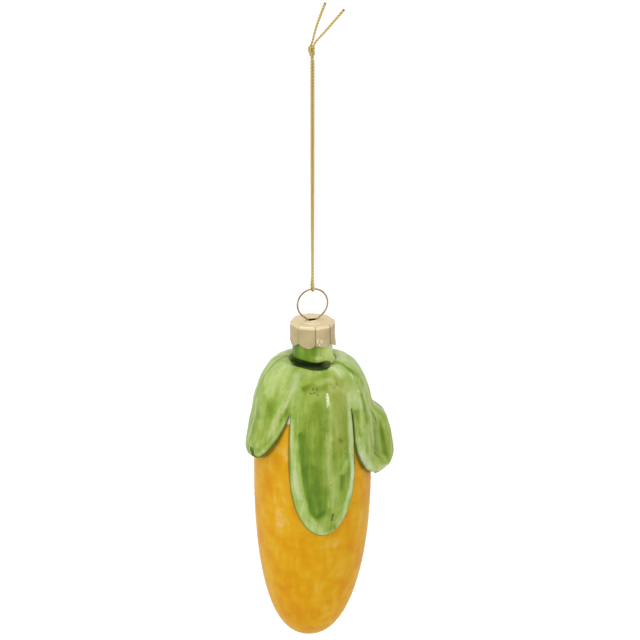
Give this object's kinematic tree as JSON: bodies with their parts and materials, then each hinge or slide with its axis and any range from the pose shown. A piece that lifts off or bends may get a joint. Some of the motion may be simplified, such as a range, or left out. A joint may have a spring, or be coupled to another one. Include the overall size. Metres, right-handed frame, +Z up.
{
  "type": "glass corn cob ornament",
  "caption": "Hanging glass ornament shaped as an ear of corn with green husk leaves, a fluted gold cap with a wire ring, and a knotted loop of thin gold cord.",
  "frame": {"origin": "the place inside the top of the cord's loop, just under its knot, where it is hung up", "axes": "+Z up along the hanging cord, the front of the ornament facing -Y, +X to the right seen from the front"},
  "size_m": [0.0529, 0.0472, 0.2423],
  "materials": {
    "gold_cord": "twisted metallic gold thread, half gloss",
    "wire": "thin gold-coloured wire, gloss",
    "cap_foil": "thin champagne-gold foil, satin, pressed into flutes",
    "corn_glass": "golden painted glass, satin, faint kernels in low relief",
    "husk_glass": "glossy glass painted green in lengthwise streaks, translucent at the neck"
  },
  "bodies": {
    "cord_loop": {"cord_strand_back": "gold_cord", "cord_strand_front": "gold_cord", "cord_bight": "gold_cord", "cord_knot": "gold_cord", "cord_tail_left": "gold_cord", "cord_tail_right": "gold_cord"},
    "hanger": {"hanger_wire": "wire"},
    "cap_unit": {"cap": "cap_foil"},
    "glass_cob": {"glass_body": "corn_glass", "front_leaf": "husk_glass", "left_leaf": "husk_glass", "left_rear_leaf": "husk_glass", "back_leaf": "husk_glass", "right_rear_leaf": "husk_glass", "right_leaf": "husk_glass"}
  },
  "joints": [
    {"name": "hanger_swing", "type": "hinge", "parent": "cord_loop", "child": "hanger", "pos_m": [0, 0, -0.08825], "axis": [0.9563, 0.2924, 0], "range_deg": [-80, 80]},
    {"name": "cap_swivel", "type": "hinge", "parent": "hanger", "child": "cap_unit", "pos_m": [0, 0, -0.10025], "axis": [0, 0, 1], "continuous": true},
    {"name": "glass_pull_off", "type": "slide", "parent": "cap_unit", "child": "glass_cob", "axis": [0, 0, -1], "range_m": [0, 0.025]}
  ]
}
